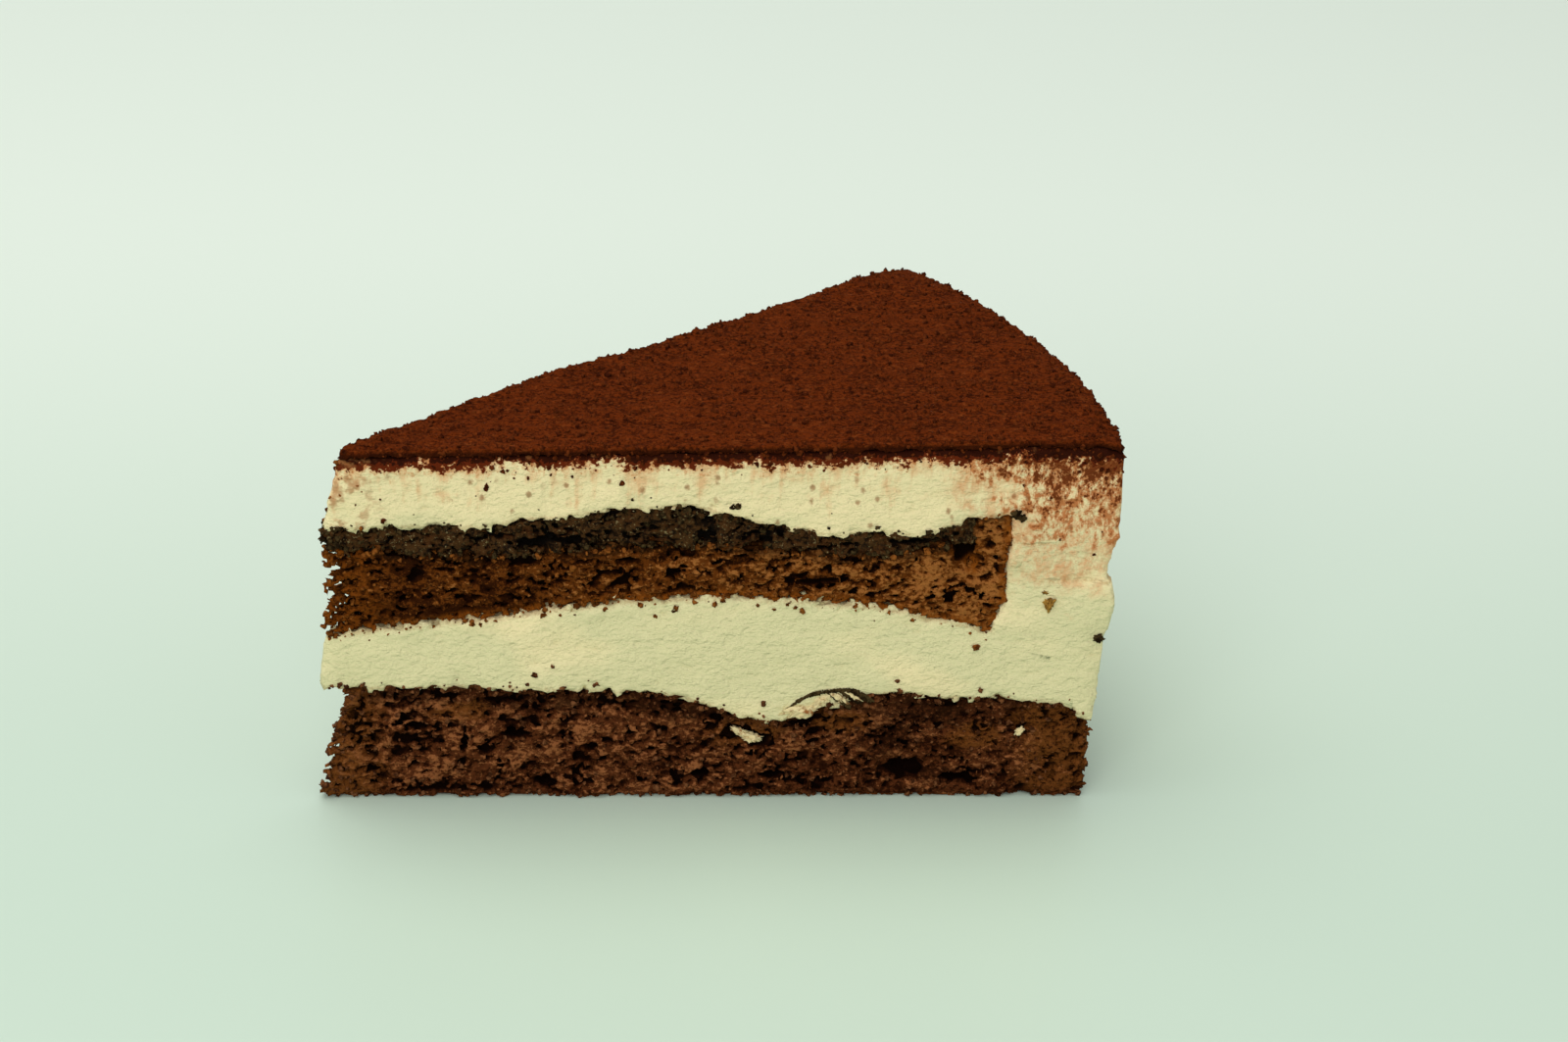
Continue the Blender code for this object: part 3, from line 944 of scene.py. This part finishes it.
# Where the bottom sponge is more orange: (x, z, length, height)
WARM_SPOTS = (
    (51.0, 9.6, 12.0, 4.5),
    (63.0, 11.0, 9.0, 4.0),
    (91.0, 8.0, 14.0, 14.0),
    (80.0, 9.0, 8.0, 4.0),
    (14.0, 12.5, 9.0, 3.0),
)


# Where it is soaked further down
DARK_SPOTS = (
    (72.0, 12.0, 17.0, 5.0),
    (68.5, 9.0, 9.0, 6.0),
    (42.0, 12.5, 10.0, 3.5),
    (76.0, 3.2, 8.0, 3.0),
    (26.0, 13.4, 18.0, 2.4),
)


class TIRAMISU_OT_bottom_sponge(bpy.types.Operator):
    """Make the bottom sponge's torn crumb"""

    bl_idname = "tiramisu.bottom_sponge"
    bl_label = "Bottom sponge"

    def execute(self, context):
        material = crumb_finish(
            "mauve_crumb",
            tones=(srgb(50, 22, 8), srgb(93, 48, 24), srgb(164, 101, 60)),
            rise=-0.0009,
            soaked=(srgb(42, 20, 8), 2.4),
            crust=(srgb(128, 74, 30), 0.45),
            # pore: the colour of the painted shade in the pores
            pore=srgb(14, 5, 2),
            warm_spots=WARM_SPOTS,
            dark_spots=DARK_SPOTS,
        )
        torn_layer(
            "bottom_sponge_crumb", "bottom_sponge", "crumb", material, 190_000,
            {"Pore Size": context.scene.tiramisu.pore_mm, "Pore Stretch": 1.5, "Seed": 5.0, "Grow": 0.22,
             "Grain Length": 0.75, "Grain Height": 0.45, "Lump Height": 0.6, "Border Height": 5.0,
             "Border Length": 1.5},
        )
        return {"FINISHED"}


class TIRAMISU_OT_upper_sponge(bpy.types.Operator):
    """Make the upper sponge's torn crumb, whose pores lie in long flat rows"""

    bl_idname = "tiramisu.upper_sponge"
    bl_label = "Upper sponge"

    def execute(self, context):
        material = crumb_finish(
            "warm_crumb",
            tones=(srgb(54, 24, 6), srgb(108, 56, 17), srgb(178, 112, 56)),
            soaked=(srgb(40, 23, 9), 1.2),
            crust=(srgb(144, 76, 20), 1.1),
            # pore: the colour of the painted shade in the pores
            pore=srgb(14, 6, 2),
            rise=0.003,
        )
        torn_layer(
            "upper_sponge_crumb", "upper_sponge", "crumb", material, 190_000,
            {"Pore Size": context.scene.tiramisu.pore_mm * 0.9, "Pore Stretch": 2.3, "Seed": 31.0,
             "Grow": 0.22, "Grain Length": 0.6, "Grain Height": 0.4, "Lump Height": 0.4,
             "Border Height": 4.0, "Tip Share": 0.16, "Pore Share": 0.51},
        )
        return {"FINISHED"}


class TIRAMISU_OT_soaked_crumb(bpy.types.Operator):
    """Make the coffee-soaked crumb"""

    bl_idname = "tiramisu.soaked_crumb"
    bl_label = "Soaked crumb"

    def execute(self, context):
        torn_layer(
            "soaked_crumb_band", "soaked_crumb", "crumb", wet_finish(), 110_000,
            {"Pore Size": 0.9, "Pore Stretch": 1.6, "Pore Share": 0.5, "Seed": 57.0, "Grow": 0.32,
             "Grain Length": 0.65, "Grain Height": 0.6, "Border Height": 3.6},
        )
        return {"FINISHED"}


class TIRAMISU_OT_cream(bpy.types.Operator):
    """Make the cut cream"""

    bl_idname = "tiramisu.cream"
    bl_label = "Cream"

    def execute(self, context):
        torn_layer(
            "cream_body", "cream", "cream", cream_finish(context.scene.tiramisu), 120_000,
            {"Voxel Along": 0.45, "Voxel High": 0.33, "Grow": 0.05, "Grain Length": 1.6,
             "Grain Height": 0.2, "Lump Height": 0.4, "Lump Length": 5.0, "Seed": 83.0,
             "Border Height": 3.6, "Border Reach": 0.0},
        )
        return {"FINISHED"}


class TIRAMISU_OT_cocoa(bpy.types.Operator):
    """Make the layer of cocoa powder"""

    bl_idname = "tiramisu.cocoa"
    bl_label = "Cocoa"

    def execute(self, context):
        torn_layer(
            "cocoa_powder_layer", "cocoa_top", "powder", cocoa_finish(context.scene.tiramisu),
            150_000,
            {"Voxel Along": 0.27, "Voxel High": 0.22, "Grow": 0.1, "Grain Length": 0.8,
             "Grain Height": 0.2, "Lump Height": 0.9, "Lump Length": 1.3, "Seed": 101.0},
        )
        return {"FINISHED"}


class TIRAMISU_OT_cocoa_grains(bpy.types.Operator):
    """Scatter cocoa grains on the powder, its edges and the cream below them"""

    bl_idname = "tiramisu.cocoa_grains"
    bl_label = "Cocoa grains"

    def execute(self, context):
        powder = bpy.data.objects["cocoa_powder_layer"]
        cream = bpy.data.objects["cream_body"]
        density = context.scene.tiramisu.grain_density
        top = 1.0 - smooth_share(read_points(powder.data, "lid"), 0.6, 1.4)
        edge = smooth_share(read_points(powder.data, "cut"), 0.9, 0.2)
        on_powder = 0.45 * top + 0.55 * edge
        spots = spots_of(cream.data)
        radius = np.linalg.norm(spots[:, :2], axis=1)
        shows = smooth_share(read_points(cream.data, "cut"), 0.6, 0.3)
        drop = read_points(cream.data, "lid")
        under = smooth_share(drop, 1.8, 0.3)
        outer = smooth_share(radius, 80.0, 93.0) * smooth_share(drop, 14.0, 1.0) * 0.12
        few = smooth_share(drop, 13.0, 3.0) * 0.003
        on_cream = shows * np.maximum(np.maximum(under, outer), few)
        material = grain_finish("cocoa_grain", srgb(58, 21, 7), srgb(98, 44, 16), 0.95)
        scattered(
            "cocoa_grains", ((powder, on_powder), (cream, on_cream)), "fine grains", material,
            {"Density": density, "Smallest": 0.09, "Largest": 0.4, "Ragged": 0.7, "Seed": 11.0},
        )
        return {"FINISHED"}


BASE_BORDER_Z = 17.5  # below this the cream meets the bottom sponge
WET_BORDER_Z, WET_RADIUS = 35.5, 78.0  # above this, and nearer the tip, it meets the soaked crumb


class TIRAMISU_OT_crumbs(bpy.types.Operator):
    """Scatter crumbs of each sponge along its borders with the cream"""

    bl_idname = "tiramisu.crumbs"
    bl_label = "Sponge crumbs"

    def execute(self, context):
        kinds = (
            ("bottom_sponge_crumb", "mauve_crumbs", "bottom_sponge", (64, 34, 18), (124, 78, 48), 21.0),
            ("upper_sponge_crumb", "warm_crumbs", "upper_sponge", (84, 44, 14), (144, 84, 34), 22.0),
            ("soaked_crumb_band", "wet_crumbs", "soaked_crumb", (30, 20, 10), (74, 58, 34), 23.0),
        )
        cream = bpy.data.objects["cream_body"]
        beside = self.beside_sponges(cream.data)
        for source_name, name, slot, dark, light, seed in kinds:
            source = bpy.data.objects[source_name]
            mesh = source.data
            shows = smooth_share(read_points(mesh, "cut"), 1.0, 0.4)
            border = np.minimum(read_points(mesh, "lid"), read_points(mesh, "bed"))
            tip = smooth_share(spots_of(mesh)[:, 0], 4.0, 0.0) * 0.6
            chance = shows * np.maximum(smooth_share(border, 0.9, 0.2), np.maximum(tip, 0.1))
            material = grain_finish(name, srgb(*dark), srgb(*light))
            scattered(
                name, ((source, chance), (cream, beside[name])), "crumbs", material,
                {"Density": 1.5, "Smallest": 0.1, "Largest": 0.38, "Ragged": 0.8, "Seed": seed},
            )
        return {"FINISHED"}

    def beside_sponges(self, mesh):
        """Chances of crumbs on the cream, beside each layer of sponge."""
        spots = spots_of(mesh)
        z = spots[:, 2]
        radius = np.linalg.norm(spots[:, :2], axis=1)
        near = smooth_share(read_points(mesh, "cut"), 0.5, 0.25)
        near = near * smooth_share(read_points(mesh, "bed"), 0.8, 0.1) * 0.7
        low = z < BASE_BORDER_Z
        wet = (z > WET_BORDER_Z) & (radius < WET_RADIUS)
        tip = smooth_share(spots[:, 0], 4.0, 0.5) * (z > WET_BORDER_Z + 0.5) * 0.1
        return {
            "mauve_crumbs": near * low,
            "wet_crumbs": near * wet,
            "warm_crumbs": np.maximum(near * ~low * ~wet, tip),
        }


# Single crumbs stuck to the front cut: (x, z, length, height, material)
STUCK_CRUMBS = (
    (82.6, 40.3, 1.3, 1.0, "wet_crumbs"),
    (83.3, 39.8, 0.9, 0.8, "wet_crumbs"),
    (87.5, 28.1, 1.1, 1.8, "tan_crumb"),
    (87.0, 29.6, 0.9, 0.6, "tan_crumb"),
    (94.2, 23.2, 1.2, 1.0, "wet_crumbs"),
    (78.8, 21.8, 0.9, 0.7, "warm_crumbs"),
    (80.3, 28.3, 0.7, 0.6, "warm_crumbs"),
)
# Bits of cream caught in the bottom sponge: (x, z, length, height, tilt in degrees, how far in)
CREAM_BITS = (
    (49.8, 9.3, 2.2, 0.8, -24.0, 0.75),
    (51.2, 8.5, 2.4, 1.1, -14.0, 0.75),
    (57.4, 12.8, 4.4, 1.5, 16.0, 0.2),
    (59.9, 14.2, 2.6, 1.1, 30.0, 0.2),
    (62.0, 14.6, 2.8, 0.8, -40.0, 0.1),
    (63.8, 14.8, 2.4, 0.6, -38.0, 0.1),
    (85.2, 9.7, 1.2, 0.7, 45.0, 0.1),
)
# Dark strands in the fold of the cream: start, middle and end of each, as (x, z)
STRANDS = (
    ((55.6, 12.9), (57.6, 15.4), (61.3, 15.5)),
    ((60.8, 15.4), (63.6, 16.3), (66.2, 14.2)),
    ((60.8, 15.2), (61.8, 14.3), (63.4, 13.2)),
    ((62.3, 15.5), (63.1, 14.5), (64.8, 13.9)),
    ((63.7, 15.5), (64.6, 14.6), (66.0, 14.1)),
)


LUMP_WAVES = ((0.7, 1.0), (0.55, 2.5), (0.35, 6.0))  # share of the radius, and how many to a lump
STRAND_STEP = 0.3  # from one crumb of a strand to the next
STRAND_THICK, STRAND_UNEVEN = 0.24, 0.22
STRAND_TURN = 47.0  # radians, from one crumb to the next
# Where the middles of crumbs and strands are, from the front cut
CRUMB_OUT, STRAND_OUT = -0.1, -0.05


def add_ball(mesh, subdivisions, place, size, turned, swell):
    """Adds a ball of this size, turned and placed in millimetres from the tip.

    swell: a function that gives how far a point of the ball is pushed out, 1 where it isn't.
    """
    made = bmesh.ops.create_icosphere(mesh, subdivisions=subdivisions, radius=0.5)
    for vertex in made["verts"]:
        point = turned @ (vertex.co * size * swell(vertex.co))
        vertex.co = TIP + (point + place) * MM


def lump(mesh, place, size, tilt, seed):
    """Adds a ragged lump, tilted by so many degrees."""
    shift = Vector((seed, seed * 2.0, 0.0))

    def swell(point):
        start = point * 3.0 + shift
        return 1.0 + sum(share * noise.noise(start * times) for share, times in LUMP_WAVES)

    add_ball(mesh, 4, place, size, Matrix.Rotation(-math.radians(tilt), 3, "Y"), swell)


def strand(mesh, ends, seed):
    """Adds a thin row of crumbs along a curve on the front cut."""
    start, middle, end = (Vector((x, STRAND_OUT, z)) for x, z in ends)
    steps = round((end - start).length / STRAND_STEP) + 1
    for number in range(steps + 1):
        share = number / steps
        place = start.lerp(middle, share).lerp(middle.lerp(end, share), share)
        uneven = noise.noise(Vector((seed + number * 0.9, 0.3, 0.0)))
        thick = STRAND_THICK + STRAND_UNEVEN * uneven

        def swell(point, place=place):
            return 1.0 + 0.7 * noise.noise(point * 4.0 + place)

        size = Vector((0.7, thick * 1.4, thick * 1.6))
        add_ball(mesh, 2, place, size, Matrix.Rotation(number * STRAND_TURN, 3, "Y"), swell)


def lump_piece(name, material, build):
    """A piece whose mesh this function builds."""
    mesh = bmesh.new()
    build(mesh)
    for face in mesh.faces:
        face.smooth = True
    data = bpy.data.meshes.new(name)
    mesh.to_mesh(data)
    mesh.free()
    data.materials.append(material)
    piece = add_object(name, data)
    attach(piece, BODY)
    return piece


class TIRAMISU_OT_stuck_bits(bpy.types.Operator):
    """Make the crumbs, bits of cream and dark strands on the front cut"""

    bl_idname = "tiramisu.stuck_bits"
    bl_label = "Stuck bits"

    def execute(self, context):
        materials = bpy.data.materials
        grain_finish("tan_crumb", srgb(120, 84, 34), srgb(176, 132, 62))
        slots = {"wet_crumbs": "soaked_crumb", "warm_crumbs": "upper_sponge", "tan_crumb": "upper_sponge"}
        for kind, slot in slots.items():

            def crumbs(mesh, kind=kind):
                for number, (x, z, length, height, of) in enumerate(STUCK_CRUMBS):
                    if of == kind:
                        size = Vector((length, height, height))
                        lump(mesh, Vector((x, CRUMB_OUT, z)), size, 0.0, number * 7.3)

            lump_piece("stuck_" + kind, materials[kind], crumbs)

        def bits(mesh):
            for number, (x, z, length, height, tilt, sunk) in enumerate(CREAM_BITS):
                size = Vector((length, height * 1.2, height))
                lump(mesh, Vector((x, sunk, z)), size, tilt, number * 5.1)

        def strands(mesh):
            for number, ends in enumerate(STRANDS):
                strand(mesh, ends, number * 3.7)

        lump_piece("cream_bits", cream_bit_finish(), bits)
        lump_piece("fold_strands", materials["wet_crumbs"], strands)
        return {"FINISHED"}


def cream_bit_finish():
    """Cream with brown crumb rubbed into its edges."""
    look = Finish("caught_cream", 0.5, 0.15)
    stain = look.noise(look.place, 0.8, 3.0, 0.6)
    colour = look.mix(look.step(stain, 0.5, 0.7), srgb(236, 216, 166), srgb(150, 92, 42))
    return look.finish(colour, stain, 0.1)


class TIRAMISU_OT_stage(bpy.types.Operator):
    """Set the floor, the light and the camera"""

    bl_idname = "tiramisu.stage"
    bl_label = "Stage"

    def execute(self, context):
        scene = context.scene
        scene.view_settings.view_transform = "Standard"
        make_floor()
        make_light(scene)
        scene.camera = make_camera()
        return {"FINISHED"}


FLOOR_SIZE = 3.0
FLOOR_FADE = (-60.0, 190.0)  # the floor gets paler between these places behind the slice


def make_floor():
    look = Finish("pale_floor", 0.4, 0.5)
    far = look.step(look.split(look.place)[1], *FLOOR_FADE)
    material = look.finish(look.mix(far, srgb(205, 223, 208), srgb(234, 243, 233)))
    sheet = bmesh.new()
    bmesh.ops.create_grid(sheet, x_segments=1, y_segments=1, size=FLOOR_SIZE)
    mesh = bpy.data.meshes.new("floor")
    sheet.to_mesh(mesh)
    sheet.free()
    mesh.materials.append(material)
    add_object("floor", mesh)


# Softboxes: (name, place from the slice in metres, width, height, watts, colour)
SOFTBOXES = (
    ("overhead", (-0.25, 0.1, 1.1), 1.2, 1.2, 7.5, (1.0, 1.0, 0.97)),
    ("front", (-0.35, -1.1, 0.75), 1.0, 0.8, 6.8, (1.0, 0.97, 0.93)),
)
SKY_COLOUR = (0.93, 1.0, 0.95, 1.0)
SKY_STRENGTH = 0.45


def make_light(scene):
    for name, place, width, height, watts, colour in SOFTBOXES:
        data = bpy.data.lights.new(name, "AREA")
        data.shape = "RECTANGLE"
        data.size = width
        data.size_y = height
        data.energy = watts
        data.color = colour
        lamp = bpy.data.objects.new(name, data)
        scene.collection.objects.link(lamp)
        lamp.location = place
        lamp.rotation_euler = Vector(place).to_track_quat("Z", "Y").to_euler()
    world = bpy.data.worlds.new("studio")
    world.use_nodes = True
    sky = world.node_tree.nodes["Background"]
    sky.inputs["Color"].default_value = SKY_COLOUR
    sky.inputs["Strength"].default_value = SKY_STRENGTH
    scene.world = world


def make_camera():
    """Looks at the front cut from its left, from above, with the horizon tipped a little."""
    data = bpy.data.cameras.new("camera")
    data.lens = CAMERA_LENS
    data.clip_start = 0.05
    data.clip_end = 10.0
    camera = bpy.data.objects.new("camera", data)
    bpy.context.scene.collection.objects.link(camera)
    down = Matrix.Rotation(math.pi / 2 - CAMERA_PITCH, 4, "X")
    aside = Matrix.Rotation(-CAMERA_YAW, 4, "Z")
    tipped = Matrix.Rotation(CAMERA_ROLL, 4, "Z")
    camera.matrix_world = Matrix.Translation(TIP + CAMERA_AT * MM) @ aside @ down @ tipped
    return camera


class TIRAMISU_PT_panel(bpy.types.Panel):
    """Lists the slice's pieces and settings"""

    bl_idname = "TIRAMISU_PT_panel"
    bl_label = "Tiramisu slice"
    bl_space_type = "VIEW_3D"
    bl_region_type = "UI"
    bl_category = "Tiramisu"

    def draw(self, context):
        settings = context.scene.tiramisu
        for name in SliceSettings.__annotations__:
            self.layout.prop(settings, name)
        for operator in OPERATORS:
            self.layout.operator(operator.bl_idname)


OPERATORS = (
    TIRAMISU_OT_bottom_sponge,
    TIRAMISU_OT_upper_sponge,
    TIRAMISU_OT_soaked_crumb,
    TIRAMISU_OT_cream,
    TIRAMISU_OT_cocoa,
    TIRAMISU_OT_cocoa_grains,
    TIRAMISU_OT_crumbs,
    TIRAMISU_OT_stuck_bits,
    TIRAMISU_OT_stage,
)
CLASSES = (SliceSettings, *OPERATORS, TIRAMISU_PT_panel)


def register():
    for item in CLASSES:
        bpy.utils.register_class(item)
    bpy.types.Scene.tiramisu = PointerProperty(type=SliceSettings)


def unregister():
    del bpy.types.Scene.tiramisu
    for item in reversed(CLASSES):
        bpy.utils.unregister_class(item)


def main():
    register()
    for operator in OPERATORS:
        group, name = operator.bl_idname.split(".")
        getattr(getattr(bpy.ops, group), name)()


if __name__ == "__main__":
    main()
